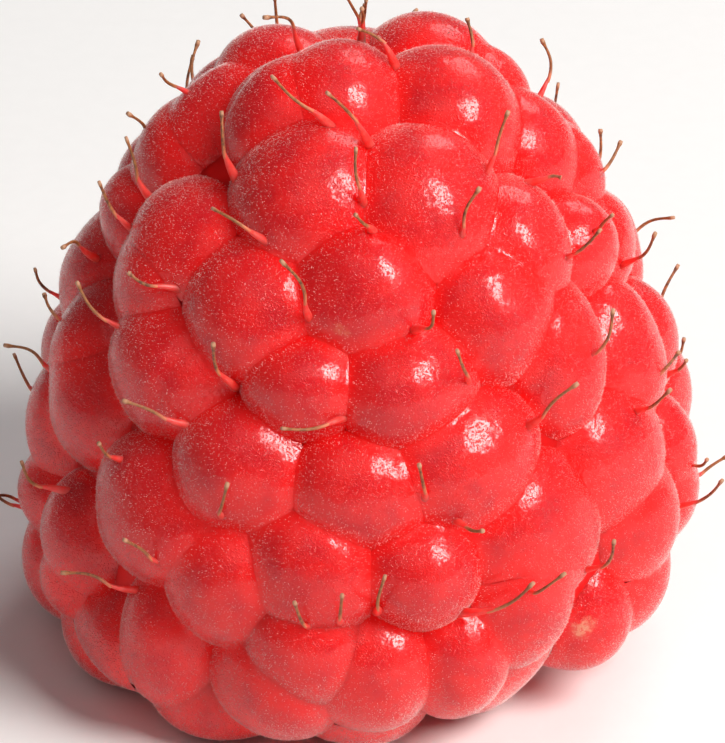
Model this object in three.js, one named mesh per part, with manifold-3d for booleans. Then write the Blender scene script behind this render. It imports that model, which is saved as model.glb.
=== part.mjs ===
// A picked raspberry, in millimetres. Z runs up its axis and it stands on its open end, tip up.
// The whole fruit grew as one body: drupelets packed over a wall round an open hollow, and the
// flower's dried styles rising from the seams between them.
// Azimuths are in degrees round the axis, 0 at the front (-Y) and positive towards +X.

import * as THREE from "three";
import { ConvexHull } from "three/addons/math/ConvexHull.js";
import { mergeVertices } from "three/addons/utils/BufferGeometryUtils.js";
import Module from "manifold-3d";

// Outline over the crowns of the drupelets, and on under the rim to the mouth of the hollow.
const fruitHeight = 23;
const fruitRadius = 11.8;
const widestHeight = 5.2;
const rimRadius = 8.6;
const rimHeight = -0.5; // below the table, so the rim's crowns are pressed flat there
const mouthHeight = 1;
const mouthShift = -0.8; // the rim hangs this far over to -X
const rimLift = 1.3; // and is this much higher at its shortest side
const rimLiftAzimuth = 55;
const skewTop = 8; // neither reaches higher than this
const dip = 1.1; // the back of the tip lies this much lower
const dipReach = 5;

// Drupelets.
const spacing = 3.9; // from crown to crown
const plumpness = 0.65; // a drupelet's radius over the distance to its neighbours
const drupeletDepth = 2.3; // half its size across the wall
const deepestSeam = 1.5;
const drupeletRings = [
  [0.26, 6],
  [0.52, 10],
  [0.76, 15],
  [1, 15],
]; // share of the way out to the seam, and points round

// The hollow that the flower's receptacle left.
const hollowRadius = 5.6;
const hollowHeight = 15.5;
const hollowSides = 16;
const hollowRows = 7;
const hollowRelief = 0.22;

// Styles.
const styleRadius = 0.11;
const styleRootRadius = 0.24;
const styleRootDepth = 1.5;
const styleSides = 3;
const styleLowest = 1.5; // no style under a crown lower than this
const styleSeed = 8;

// Drupelets of the front and tip: [azimuth, height of the crown, radius where it isn't the rule's].
const frontDrupelets = [
  [-34, 22.8],
  [134, 22.3],
  [-48, 21.9, 2.4],
  [-117, 21.9, 2.9],
  [72, 21.7],
  [115, 20.9],
  [-91, 20.6, 2.2],
  [-24, 20.2],
  [25, 20],
  [88, 19.5],
  [-94, 18.5],
  [93, 18.1],
  [52, 17.8],
  [-59, 17.5],
  [1, 17.3],
  [-91, 16.7],
  [73, 16.6, 1.9],
  [-30, 16.2],
  [35, 16.2],
  [-62, 15.9],
  [89, 15.6],
  [9, 14.6],
  [-13, 14.4],
  [49, 14.1, 2],
  [-47, 13.9],
  [72, 12.8],
  [-78, 12.1],
  [91, 11.9],
  [22, 11.6],
  [-26, 11.5],
  [0, 11.2],
  [-72, 10.9],
  [62, 9.8],
  [35, 8.8],
  [-85, 8.7],
  [-44, 8.7],
  [80, 8.2],
  [-8, 8.2],
  [11, 8.2],
  [-28, 7.1],
  [63, 7],
  [-83, 5.9],
  [80, 5.8],
  [-63, 5.7],
  [32, 5.3, 1.9],
  [-64, 4.5],
  [61, 3.6],
  [20, 3.3],
  [7, 3.1],
  [-37, 2.8],
  [51, 2.7],
  [-49, 2.4],
  [-15, 1.9],
];

// Styles of the front and tip: [azimuth, height, lean, rise, length]. The lean turns from straight
// up the fruit towards larger azimuths, and the rise is the angle off its surface.
const frontStyles = [
  [-41, 23, -30, 25, 0.8],
  [-25, 23, 140, 60, 1.4],
  [66, 23, -115, 45, 1.5],
  [49, 22.8, -45, 15, 1.6],
  [-88, 22.7, 120, 45, 2],
  [89, 21.9, 40, 25, 1.3],
  [-13, 21.7, -75, 35, 2.4],
  [4, 21.4, -65, 45, 2.3],
  [-93, 20.5, 80, 45, 1.8],
  [-46, 19.9, -15, 25, 1.9],
  [44, 19.9, 30, 25, 2],
  [1, 19.8, -10, 35, 1.9],
  [60, 19.2, 135, 15, 0.6],
  [4, 19.1, -60, 35, 1],
  [-25, 18.5, -70, 15, 2],
  [-98, 18.5, 55, 25, 2],
  [27, 18.4, 20, 25, 1.9],
  [-74, 17.8, 5, 35, 2.2],
  [86, 17.5, 80, 25, 1.7],
  [54, 16.8, 25, 60, 1.6],
  [-70, 16.8, -10, 45, 1.9],
  [71, 16.7, -55, 35, 2.1],
  [-12, 16.5, -20, 35, 2.5],
  [-46, 16.4, -90, 35, 1.4],
  [12, 16.2, 25, 60, 1.5],
  [80, 14.9, -40, 35, 2.2],
  [23, 14.3, -30, 25, 1.9],
  [-58, 14.2, -40, 35, 2],
  [-28, 14.1, -5, 25, 1.7],
  [-3, 13.6, -95, 15, 2.1],
  [50, 13.6, 20, 25, 2.1],
  [-79, 12.5, -50, 25, 1.3],
  [34, 12.4, 40, 25, 2.1],
  [-36, 12.4, -70, 25, 1.9],
  [69, 11.4, 50, 25, 1.3],
  [62, 11, -30, 45, 2.1],
  [12, 10.7, -15, 25, 2.1],
  [-79, 10.7, -85, 35, 2],
  [80, 10.6, -30, 25, 1.1],
  [-49, 10.3, 0, 35, 1.1],
  [17, 10, 85, 60, 1],
  [-26, 9.7, 25, 25, 2.4],
  [-65, 7.7, -70, 15, 1.7],
  [78, 7.4, -45, 35, 1],
  [-36, 7.4, -20, 35, 1.9],
  [29, 6.9, 15, 45, 2.2],
  [3, 6.9, 5, 15, 2.1],
  [42, 6.7, 5, 25, 1.9],
  [18, 6.5, 45, 25, 2.8],
  [-8, 6.2, -15, 15, 1.8],
  [73, 6.1, -20, 35, 2.3],
  [-43, 5.9, -70, 25, 2.1],
];

const degrees = Math.PI / 180;
const wasm = await Module();
wasm.setup();

// A repeatable draw of shares between 0 and 1.
function drawsFrom(seed) {
  let state = seed;
  return () => {
    state = (state * 16807) % 2147483647;
    return state / 2147483647;
  };
}

// The outline from the tip to the rim and on to the mouth, as points of radius and height.
function curveOf(pieces, ...ends) {
  const points = ends.map(([radius, height]) => new THREE.Vector2(radius, height));
  return new THREE.CubicBezierCurve(...points).getPoints(pieces);
}
const widest = [fruitRadius, widestHeight];
const rim = [rimRadius, rimHeight];
const overCrowns = [
  ...curveOf(160, [0, fruitHeight], [8.6, fruitHeight], [fruitRadius, 9.5], widest),
  ...curveOf(60, widest, [fruitRadius, 2.6], [10.6, 0.4], rim).slice(1),
];
const underRim = curveOf(20, rim, [7.6, -0.65], [6.2, 0], [hollowRadius, mouthHeight]).slice(1);
const outline = [...overCrowns, ...underRim];

// How far each point of the outline is from the tip, measured along it.
const reaches = [0];
for (let i = 1; i < outline.length; i++) {
  reaches.push(reaches[i - 1] + outline[i].distanceTo(outline[i - 1]));
}
const rimReach = reaches[overCrowns.length - 1];
const lastRowReach = rimReach - 0.7;
const mouthReach = reaches[outline.length - 1];

function reachAtHeight(height) {
  const i = Math.max(1, outline.findIndex((point) => point.y <= height));
  const share = (outline[i - 1].y - height) / (outline[i - 1].y - outline[i].y);
  return THREE.MathUtils.lerp(reaches[i - 1], reaches[i], share);
}

// 1 where two azimuths agree, falling off smoothly to either side.
function towards(turn, middle) {
  return Math.exp(2.5 * (Math.cos(turn - middle) - 1));
}

// A place on the crown surface: its point, the way out of it, up the fruit and round it.
function placeAt(azimuth, wantedReach) {
  const reach = Math.min(Math.max(wantedReach, 0.001), mouthReach - 0.001);
  const i = reaches.findIndex((value) => value > reach);
  const share = (reach - reaches[i - 1]) / (reaches[i] - reaches[i - 1]);
  const flat = outline[i - 1].clone().lerp(outline[i], share);
  const fall = outline[i].clone().sub(outline[i - 1]).normalize();
  const turn = azimuth * degrees;
  const spoke = new THREE.Vector3(Math.sin(turn), -Math.cos(turn), 0);
  const axis = new THREE.Vector3(0, 0, 1);
  const low = Math.max(0, 1 - flat.y / skewTop) ** 2;
  const lift = rimLift * low * towards(turn, rimLiftAzimuth * degrees);
  const sink = dip * towards(turn, Math.PI) ** 2 * Math.exp(-(((reach - dipReach) / 3) ** 2));
  return {
    azimuth,
    reach,
    ringRadius: flat.x,
    point: spoke
      .clone()
      .multiplyScalar(flat.x)
      .addScaledVector(axis, flat.y)
      .add(new THREE.Vector3(mouthShift * low, 0, lift - sink)),
    out: spoke.clone().multiplyScalar(-fall.y).addScaledVector(axis, fall.x),
    up: spoke.clone().multiplyScalar(-fall.x).addScaledVector(axis, -fall.y),
    round: new THREE.Vector3(Math.cos(turn), Math.sin(turn), 0),
  };
}

// How far along the outline its point nearest to a point is.
function reachNearest(point) {
  const flat = new THREE.Vector2(Math.hypot(point.x, point.y), point.z);
  const nearest = new THREE.Vector2();
  let best = Infinity;
  let reach = 0;
  for (let i = 1; i < outline.length; i++) {
    const piece = outline[i].clone().sub(outline[i - 1]);
    const along = flat.clone().sub(outline[i - 1]).dot(piece) / piece.lengthSq();
    const share = Math.min(Math.max(along, 0), 1);
    const miss = nearest.copy(outline[i - 1]).addScaledVector(piece, share).distanceToSquared(flat);
    if (miss < best) {
      best = miss;
      reach = THREE.MathUtils.lerp(reaches[i - 1], reaches[i], share);
    }
  }
  return reach;
}

// The place of the crown surface under a point. The skewed surface has no such simple nearest
// point, so the aim is put right by what it missed.
function placeNear(point) {
  const aim = point.clone();
  let place;
  for (let pass = 0; pass < 3; pass++) {
    place = placeAt(Math.atan2(aim.x, -aim.y) / degrees, reachNearest(aim));
    const miss = point.clone().sub(place.point);
    aim.add(miss.addScaledVector(place.out, -miss.dot(place.out)));
  }
  return place;
}

// A net of places between two reaches, about one step apart.
function netOfPlaces(from, to, step) {
  const net = [];
  for (let reach = from; reach < to; reach += step) {
    const around = Math.max(1, Math.round((2 * Math.PI * placeAt(0, reach).ringRadius) / step));
    for (let k = 0; k < around; k++) {
      net.push(placeAt((360 * k) / around - 180, reach));
    }
  }
  return net;
}

// The front drupelets lie where they are seen. Each further one goes to the widest place still
// free, and then these push one another apart until they lie evenly.
function layDrupelets() {
  const laid = frontDrupelets.map(([azimuth, height, radius]) => ({
    ...placeAt(azimuth, reachAtHeight(height)),
    radius,
  }));
  const net = netOfPlaces(0, lastRowReach, 0.6);
  const gaps = net.map((place) =>
    Math.min(...laid.map((other) => other.point.distanceTo(place.point))),
  );
  let freest = gaps.indexOf(Math.max(...gaps));
  while (gaps[freest] > 0.82 * spacing) {
    const added = net[freest];
    laid.push(added);
    net.forEach((place, i) => {
      gaps[i] = Math.min(gaps[i], place.point.distanceTo(added.point));
    });
    freest = gaps.indexOf(Math.max(...gaps));
  }
  for (let pass = 0; pass < 50; pass++) {
    for (let i = frontDrupelets.length; i < laid.length; i++) {
      const place = laid[i];
      const push = new THREE.Vector3();
      for (const other of laid) {
        const apart = place.point.clone().sub(other.point);
        const lack = 1.35 * spacing - apart.length();
        if (other !== place && lack > 0) push.addScaledVector(apart.normalize(), 0.12 * lack);
      }
      laid[i] = placeAt(
        place.azimuth + push.dot(place.round) / Math.max(1, place.ringRadius) / degrees,
        Math.min(place.reach - push.dot(place.up), lastRowReach),
      );
    }
  }
  return laid;
}

// A drupelet without a radius of its own swells until it presses on the four nearest.
function swell(drupelets) {
  for (const drupelet of drupelets) {
    const others = drupelets
      .filter((other) => other !== drupelet)
      .map((other) => ({ other, gap: other.point.distanceTo(drupelet.point) }))
      .sort((a, b) => a.gap - b.gap);
    const mean = (others[0].gap + others[1].gap + others[2].gap + others[3].gap) / 4;
    drupelet.radius ??= Math.min(Math.max(plumpness * mean, 2), 2.6);
    drupelet.neighbours = others.filter(({ gap }) => gap < 1.8 * spacing).map(({ other }) => other);
  }
}

// How high a drupelet's dome stands over a place, out from the crown surface.
function domeOver(place, { point, out, radius }) {
  const offset = place.point.clone().sub(point).addScaledVector(out, drupeletDepth);
  const slope = place.out.dot(out);
  const rise = offset.dot(out);
  const flat = 1 / radius ** 2;
  const tall = 1 / drupeletDepth ** 2;
  const a = (1 - slope ** 2) * flat + slope ** 2 * tall;
  const b = (offset.dot(place.out) - rise * slope) * flat + rise * slope * tall;
  const c = (offset.lengthSq() - rise ** 2) * flat + rise ** 2 * tall - 1;
  const under = b * b - a * c;
  return under < 0 ? -deepestSeam : Math.max((Math.sqrt(under) - b) / a, -deepestSeam);
}

// The place a way off from a drupelet's crown.
function placeBeside({ point, up, round }, angle, way) {
  const beside = point
    .clone()
    .addScaledVector(up, way * Math.cos(angle))
    .addScaledVector(round, way * Math.sin(angle));
  return placeNear(beside);
}

// How far it is from a drupelet's crown to the seam where a neighbour's dome takes over.
function wayToSeam(drupelet, angle) {
  let near = 0;
  let far = drupelet.radius;
  for (let halving = 0; halving < 9; halving++) {
    const middle = (near + far) / 2;
    const place = placeBeside(drupelet, angle, middle);
    const own = domeOver(place, drupelet);
    const within =
      own > -deepestSeam && drupelet.neighbours.every((other) => domeOver(place, other) < own);
    if (within) near = middle;
    else far = middle;
  }
  return near;
}

// The corners of the fruit's surface: rings of them on each dome, and one chain along each seam.
function surfaceCorners(drupelets) {
  const corners = [];
  const seams = [];
  const addCorner = (place, lift) => {
    const position = place.point.clone().addScaledVector(place.out, lift);
    corners.push({ reach: place.reach, azimuth: place.azimuth, position });
    return position;
  };
  drupelets.forEach((drupelet, i) => {
    addCorner(drupelet, 0);
    drupeletRings.forEach(([share, around]) => {
      for (let k = 0; k < around; k++) {
        const angle = ((k + 0.5 * share) / around) * 2 * Math.PI + 2.4 * i;
        const place = placeBeside(drupelet, angle, share * wayToSeam(drupelet, angle));
        const lift = domeOver(place, drupelet);
        const position = place.point.clone().addScaledVector(place.out, lift);
        const crowded = share === 1 && seams.some((other) => other.distanceTo(position) < 0.5);
        if (crowded) continue;
        if (share === 1) seams.push(position);
        addCorner(place, lift);
      }
    });
  });
  for (const place of netOfPlaces(rimReach, mouthReach + 1.3, 1.3)) {
    const lift = Math.max(...drupelets.map((drupelet) => domeOver(place, drupelet)));
    const position = place.point.clone().addScaledVector(place.out, lift);
    const crowded = corners.some((other) => other.position.distanceTo(position) < 0.7);
    if (!crowded) addCorner(place, lift);
  }
  return corners;
}

// One closed surface over all the corners and a plug across the mouth. Spread over a ball by
// azimuth and reach, the corners' convex hull joins each to its nearest.
function fruitSurface(drupelets) {
  const corners = surfaceCorners(drupelets);
  const plug = new THREE.Vector3(0, 0, mouthHeight + deepestSeam);
  for (let azimuth = 0; azimuth < 360; azimuth += 45) {
    const turn = azimuth * degrees;
    const spoke = new THREE.Vector3(Math.sin(turn), -Math.cos(turn), 0);
    const position = plug.clone().addScaledVector(spoke, hollowRadius / 2);
    corners.push({ reach: mouthReach + hollowRadius / 2, azimuth, position });
  }
  corners.push({ reach: mouthReach + hollowRadius, azimuth: 0, position: plug });
  const index = new Map();
  corners.forEach((corner, i) => {
    const polar = (Math.PI * corner.reach) / (mouthReach + hollowRadius);
    const turn = corner.azimuth * degrees;
    const onBall = new THREE.Vector3(
      Math.sin(polar) * Math.sin(turn),
      -Math.sin(polar) * Math.cos(turn),
      Math.cos(polar),
    );
    index.set(onBall, i);
  });
  const hull = new ConvexHull().setFromPoints([...index.keys()]);
  const faces = hull.faces.flatMap(({ edge }) =>
    [edge.tail().point, edge.head().point, edge.next.head().point].map((point) => index.get(point)),
  );
  const surface = new THREE.BufferGeometry();
  surface.setFromPoints(corners.map(({ position }) => position));
  surface.setIndex(faces);
  return surface;
}

// A closed mesh from a point, rings of points and a last point, each lying below the one before.
function shellOf(first, rings, last) {
  const sides = rings[0].length;
  const corners = [first, ...rings.flat(), last];
  const faces = [];
  for (let k = 0; k < sides; k++) {
    const next = (k + 1) % sides;
    faces.push(0, 1 + k, 1 + next);
    for (let ring = 0; ring < rings.length - 1; ring++) {
      const a = 1 + ring * sides;
      const b = a + sides;
      faces.push(a + k, b + k, b + next, a + k, b + next, a + next);
    }
    const bottom = 1 + (rings.length - 1) * sides;
    faces.push(bottom + k, corners.length - 1, bottom + next);
  }
  const shell = new THREE.BufferGeometry();
  shell.setFromPoints(corners);
  shell.setIndex(faces);
  return shell;
}

// A solid that can be joined and cut, from a closed geometry.
function solidOf(geometry) {
  const bare = geometry.clone();
  bare.deleteAttribute("normal");
  bare.deleteAttribute("uv");
  const welded = mergeVertices(bare, 1e-4);
  return new wasm.Manifold(
    new wasm.Mesh({
      numProp: 3,
      vertProperties: welded.attributes.position.array,
      triVerts: new Uint32Array(welded.index.array),
    }),
  );
}

// The hollow, open below, with the drupelets' inner ends standing in it as low bumps.
function hollowSolid() {
  const rings = [];
  for (let row = 0; row < hollowRows; row++) {
    const height = hollowHeight * Math.cos((((row + 0.5) / hollowRows) * Math.PI) / 2);
    const radius = hollowRadius * (1 - (height / hollowHeight) ** 2) ** 0.6;
    rings.push(
      Array.from({ length: hollowSides }, (_, k) => {
        const turn = ((k + row / 2) / hollowSides) * 2 * Math.PI;
        const across = radius - hollowRelief * (k % 2);
        return new THREE.Vector3(across * Math.cos(turn), across * Math.sin(turn), height);
      }),
    );
  }
  const mouth = rings[rings.length - 1].map((corner) => corner.clone().setZ(-1));
  return solidOf(
    shellOf(new THREE.Vector3(0, 0, hollowHeight), [...rings, mouth], new THREE.Vector3(0, 0, -2)),
  );
}

// The styles of the front where they are seen, and one for each further drupelet above the rim,
// out of its seam on the side towards the tip.
function layStyles(drupelets) {
  const draw = drawsFrom(styleSeed);
  const styles = frontStyles.map(([azimuth, height, lean, rise, length]) => ({
    ...placeAt(azimuth, reachAtHeight(height)),
    lean,
    rise,
    length,
  }));
  for (const drupelet of drupelets.slice(frontDrupelets.length)) {
    const clock = (140 * draw() - 70) * degrees;
    const lean = 140 * draw() - 70;
    const rise = 20 + 30 * draw();
    const length = 1.4 + 0.9 * draw();
    if (drupelet.point.z < styleLowest) continue;
    const seam = placeBeside(drupelet, clock, wayToSeam(drupelet, clock));
    styles.push({ ...seam, lean, rise, length });
  }
  return styles;
}

// A style: a fleshy root out of the seam, then the thin dry thread.
function styleSolid({ point, out, up, round, lean, rise, length }) {
  const along = up
    .clone()
    .multiplyScalar(Math.cos(lean * degrees))
    .addScaledVector(round, Math.sin(lean * degrees))
    .multiplyScalar(Math.cos(rise * degrees))
    .addScaledVector(out, Math.sin(rise * degrees));
  const side = along.clone().cross(out).normalize();
  const across = side.clone().cross(along);
  const stations = [
    [point.clone().addScaledVector(along, length), styleRadius],
    [point.clone().addScaledVector(out, -0.35).addScaledVector(along, 0.35), styleRadius],
    [point.clone().addScaledVector(out, -styleRootDepth), styleRootRadius],
  ];
  const rings = stations.map(([middle, radius]) =>
    Array.from({ length: styleSides }, (_, k) => {
      const turn = (k / styleSides) * 2 * Math.PI;
      return middle
        .clone()
        .addScaledVector(side, -radius * Math.cos(turn))
        .addScaledVector(across, radius * Math.sin(turn));
    }),
  );
  return solidOf(shellOf(stations[0][0], rings, stations[2][0]));
}

const drupelets = layDrupelets();
swell(drupelets);
const underTable = new THREE.BoxGeometry(40, 40, 10).translate(0, 0, -5);
const fruit = solidOf(fruitSurface(drupelets))
  .subtract(hollowSolid())
  .add(wasm.Manifold.union(layStyles(drupelets).map(styleSolid)))
  .subtract(solidOf(underTable));

const found = fruit.getMesh();
const geometry = new THREE.BufferGeometry();
geometry.setAttribute("position", new THREE.BufferAttribute(found.vertProperties, 3));
geometry.setIndex(new THREE.BufferAttribute(found.triVerts, 1));
geometry.computeVertexNormals();

const skin = new THREE.MeshStandardMaterial({ color: 0xd0202a, roughness: 0.45 });
const raspberry = new THREE.Mesh(geometry, skin);
raspberry.name = "raspberry";

const part = new THREE.Group();
part.add(raspberry);

export default part;
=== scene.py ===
# A raspberry standing on its open end, dressed over its plain solid.
# The fruit's lengths are worked out in millimetres and made in metres. Azimuths are in degrees round
# its axis, 0 at the front (-Y) and positive towards +X.

import math

import bpy
import numpy as np
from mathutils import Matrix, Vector


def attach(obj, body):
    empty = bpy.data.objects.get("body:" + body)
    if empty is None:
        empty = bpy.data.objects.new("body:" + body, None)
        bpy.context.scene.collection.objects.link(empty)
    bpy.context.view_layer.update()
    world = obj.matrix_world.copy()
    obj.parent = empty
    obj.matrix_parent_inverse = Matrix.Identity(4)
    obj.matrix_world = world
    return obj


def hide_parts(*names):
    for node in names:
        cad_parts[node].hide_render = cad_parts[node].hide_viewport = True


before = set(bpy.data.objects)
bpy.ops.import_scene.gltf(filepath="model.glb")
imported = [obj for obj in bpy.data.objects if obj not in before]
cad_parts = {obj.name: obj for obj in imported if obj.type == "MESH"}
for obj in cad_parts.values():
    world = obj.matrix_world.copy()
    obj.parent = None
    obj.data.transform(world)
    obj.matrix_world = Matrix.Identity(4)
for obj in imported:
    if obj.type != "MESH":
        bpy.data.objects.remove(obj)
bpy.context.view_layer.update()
mm = 0.001
halvings = 9  # in each search for a seam

# The outline over the crowns of the drupelets, and on under the rim to the mouth of the hollow.
fruit = {
    "height": 23,
    "radius": 11.8,
    "widestHeight": 5.2,
    "tipBreadth": 8.6,  # how broadly the tip is rounded
    "shoulderHeight": 9.5,
    "bellyHeight": 2.6,
    "lowBelly": (10.6, 0.4),
    "rimRadius": 8.6,
    "rimHeight": -0.5,  # below the table, where the lowest crowns are pressed
    "lastRow": 0.7,  # the lowest crowns stay this far from the rim
    "rimTurn": (7.6, -0.65),
    "mouthTurn": (6.2, 0),
    "mouthHeight": 1,
    "mouthShift": -0.8,  # the rim hangs this far over to -X
    "rimLift": 1.3,  # and is this much higher at its shortest side
    "rimLiftAzimuth": 55,
    "skewTop": 8,  # neither reaches higher than this
    "dip": 1.1,  # the back of the tip lies this much lower
    "dipReach": 5,
    "dipWidth": 3,
    "sideFocus": 2.5,  # how closely the lift and the dip keep to their sides
    "hollowRadius": 5.6,
    "hollowHeight": 15.5,
    "hollowTaper": 0.6,
}


def curveOf(pieces, *ends):
    # points along a curve that leaves its first end towards the second and comes in from the third
    share = np.linspace(0, 1, pieces + 1)[:, None]
    a, b, c, d = (np.array(end, float) for end in ends)
    rest = 1 - share
    return rest**3 * a + 3 * rest**2 * share * b + 3 * rest * share**2 * c + share**3 * d


top, widest = fruit["height"], (fruit["radius"], fruit["widestHeight"])
rim = (fruit["rimRadius"], fruit["rimHeight"])
mouth = (fruit["hollowRadius"], fruit["mouthHeight"])
overCrowns = np.vstack([
    curveOf(160, (0, top), (fruit["tipBreadth"], top), (fruit["radius"], fruit["shoulderHeight"]), widest),
    curveOf(60, widest, (fruit["radius"], fruit["bellyHeight"]), fruit["lowBelly"], rim)[1:],
])
underRim = curveOf(20, rim, fruit["rimTurn"], fruit["mouthTurn"], mouth)[1:]
outline = np.vstack([overCrowns, underRim])

# how far each point of the outline is from the tip, along it
pieceLengths = np.linalg.norm(np.diff(outline, axis=0), axis=1)
reaches = np.concatenate([[0], np.cumsum(pieceLengths)])
rimReach = reaches[len(overCrowns) - 1]
lastRowReach = rimReach - fruit["lastRow"]
mouthReach = reaches[-1]


def reachAtHeight(height):
    i = max(1, int(np.argmax(outline[:, 1] <= height)))
    share = (outline[i - 1, 1] - height) / (outline[i - 1, 1] - outline[i, 1])
    return reaches[i - 1] + (reaches[i] - reaches[i - 1]) * share


def towards(turn, middle):
    # 1 where two azimuths agree, falling off smoothly to either side
    return np.exp(fruit["sideFocus"] * (np.cos(turn - middle) - 1))


def hollowRadiusAt(rise):
    # how wide the hollow is, from its foot at rise 0 to its top at rise 1
    return fruit["hollowRadius"] * np.maximum(0, 1 - rise**2) ** fruit["hollowTaper"]


def rows(*parts):
    # x, y and z, each a number or an array, as one array of vectors
    return np.stack(np.broadcast_arrays(*parts), -1)


class Places:
    # places on the crown surface: points, the ways out of it, up the fruit and round it
    def __init__(self, azimuth, reach):
        self.azimuth = np.asarray(azimuth, float)
        self.reach = np.clip(reach, 0.001, mouthReach - 0.001)
        i = np.searchsorted(reaches, self.reach, side="right")
        share = (self.reach - reaches[i - 1]) / (reaches[i] - reaches[i - 1])
        flat = outline[i - 1] + (outline[i] - outline[i - 1]) * share[..., None]
        fall = (outline[i] - outline[i - 1]) / pieceLengths[i - 1][..., None]
        turn = np.radians(self.azimuth)
        sine, cosine = np.sin(turn), np.cos(turn)
        low = np.maximum(0, 1 - flat[..., 1] / fruit["skewTop"]) ** 2
        lift = fruit["rimLift"] * low * towards(turn, math.radians(fruit["rimLiftAzimuth"]))
        nearDip = np.exp(-(((self.reach - fruit["dipReach"]) / fruit["dipWidth"]) ** 2))
        sink = fruit["dip"] * towards(turn, math.pi) ** 2 * nearDip
        self.ringRadius = flat[..., 0]
        self.point = rows(
            sine * flat[..., 0] + fruit["mouthShift"] * low,
            -cosine * flat[..., 0],
            flat[..., 1] + lift - sink,
        )
        self.out = rows(-fall[..., 1] * sine, fall[..., 1] * cosine, fall[..., 0])
        self.up = rows(-fall[..., 0] * sine, fall[..., 0] * cosine, -fall[..., 1])
        self.round = rows(cosine, sine, 0)


def dot(a, b):
    return (a * b).sum(-1)


def unit(vectors):
    return vectors / np.linalg.norm(vectors, axis=-1, keepdims=True)


def reachNearest(points):
    # how far along the outline its point nearest to each point is
    flat = rows(np.hypot(points[..., 0], points[..., 1]), points[..., 2])[..., None, :]
    start, piece = outline[:-1], np.diff(outline, axis=0)
    share = np.clip(dot(flat - start, piece) / pieceLengths**2, 0, 1)
    miss = np.linalg.norm(start + piece * share[..., None] - flat, axis=-1)
    best = miss.argmin(-1)
    bestShare = np.take_along_axis(share, best[..., None], -1)[..., 0]
    return reaches[best] + pieceLengths[best] * bestShare


def placesNear(points):
    # the skewed surface's nearest places, found by putting the aim right
    aim = np.array(points, float)
    for _ in range(3):
        azimuth = np.degrees(np.arctan2(aim[..., 0], -aim[..., 1]))
        found = Places(azimuth, reachNearest(aim))
        miss = points - found.point
        aim = aim + miss - found.out * dot(miss, found.out)[..., None]
    return found


# How the drupelets are laid: the front ones where they are seen, the others evenly between.
laying = {
    "spacing": 3.9,  # from crown to crown
    "plumpness": 0.65,  # a drupelet's radius over the distance to its neighbours
    "depth": 2.3,  # half its size across the wall
    "deepestSeam": 1.5,
    "smallest": 2,
    "largest": 2.6,
    "tryStep": 0.6,  # between the places tried for a further drupelet
    "freest": 0.82,  # of the spacing: no place stays free that is farther than this from a crown
    "pushRounds": 50,
    "pushReach": 1.35,  # of the spacing, up to which crowns push one another
    "push": 0.12,
    "neighbourReach": 1.8,  # of the spacing
}

# Drupelets of the front and tip: azimuth, height of the crown, radius where it isn't the rule's.
frontDrupelets = [
    (-34, 22.8), (134, 22.3), (-48, 21.9, 2.4), (-117, 21.9, 2.9), (72, 21.7), (115, 20.9),
    (-91, 20.6, 2.2), (-24, 20.2), (25, 20), (88, 19.5), (-94, 18.5), (93, 18.1), (52, 17.8),
    (-59, 17.5), (1, 17.3), (-91, 16.7), (73, 16.6, 1.9), (-30, 16.2), (35, 16.2), (-62, 15.9),
    (89, 15.6), (9, 14.6), (-13, 14.4), (49, 14.1, 2), (-47, 13.9), (72, 12.8), (-78, 12.1),
    (91, 11.9), (22, 11.6), (-26, 11.5), (0, 11.2), (-72, 10.9), (62, 9.8), (35, 8.8),
    (-85, 8.7), (-44, 8.7), (80, 8.2), (-8, 8.2), (11, 8.2), (-28, 7.1), (63, 7), (-83, 5.9),
    (80, 5.8), (-63, 5.7), (32, 5.3, 1.9), (-64, 4.5), (61, 3.6), (20, 3.3), (7, 3.1),
    (-37, 2.8), (51, 2.7), (-49, 2.4), (-15, 1.9),
]


def netOfPlaces(start, end, step):
    # azimuths and reaches of places about a step apart, ring by ring
    azimuths, along = [], []
    reach = start
    while reach < end:
        around = max(1, math.floor(2 * math.pi * float(Places(0, reach).ringRadius) / step + 0.5))
        azimuths += [360 * k / around - 180 for k in range(around)]
        along += [reach] * around
        reach += step
    return np.array(azimuths), np.array(along)


def layDrupelets():
    # the azimuths and reaches of all crowns: each further one goes to the widest place still free,
    # and then these push one another apart until they lie evenly
    azimuths = [row[0] for row in frontDrupelets]
    along = [reachAtHeight(row[1]) for row in frontDrupelets]
    netAzimuths, netReaches = netOfPlaces(0, lastRowReach, laying["tryStep"])
    net = Places(netAzimuths, netReaches).point
    laid = Places(azimuths, along).point
    gaps = np.linalg.norm(net[:, None] - laid, axis=-1).min(1)
    while gaps.max() > laying["freest"] * laying["spacing"]:
        freest = int(gaps.argmax())
        azimuths.append(netAzimuths[freest])
        along.append(netReaches[freest])
        gaps = np.minimum(gaps, np.linalg.norm(net - net[freest], axis=-1))
    azimuths, along = np.array(azimuths, float), np.array(along)
    points = Places(azimuths, along).point
    for _ in range(laying["pushRounds"]):
        for i in range(len(frontDrupelets), len(points)):
            place = Places(azimuths[i], along[i])
            apart = np.delete(points[i] - points, i, axis=0)
            distance = np.linalg.norm(apart, axis=1)
            lack = np.maximum(0, laying["pushReach"] * laying["spacing"] - distance)
            push = (apart * (laying["push"] * lack / distance)[:, None]).sum(0)
            azimuths[i] += math.degrees(dot(push, place.round) / max(1, place.ringRadius))
            along[i] = min(along[i] - dot(push, place.up), lastRowReach)
            points[i] = Places(azimuths[i], along[i]).point
    return Places(azimuths, along)


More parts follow.
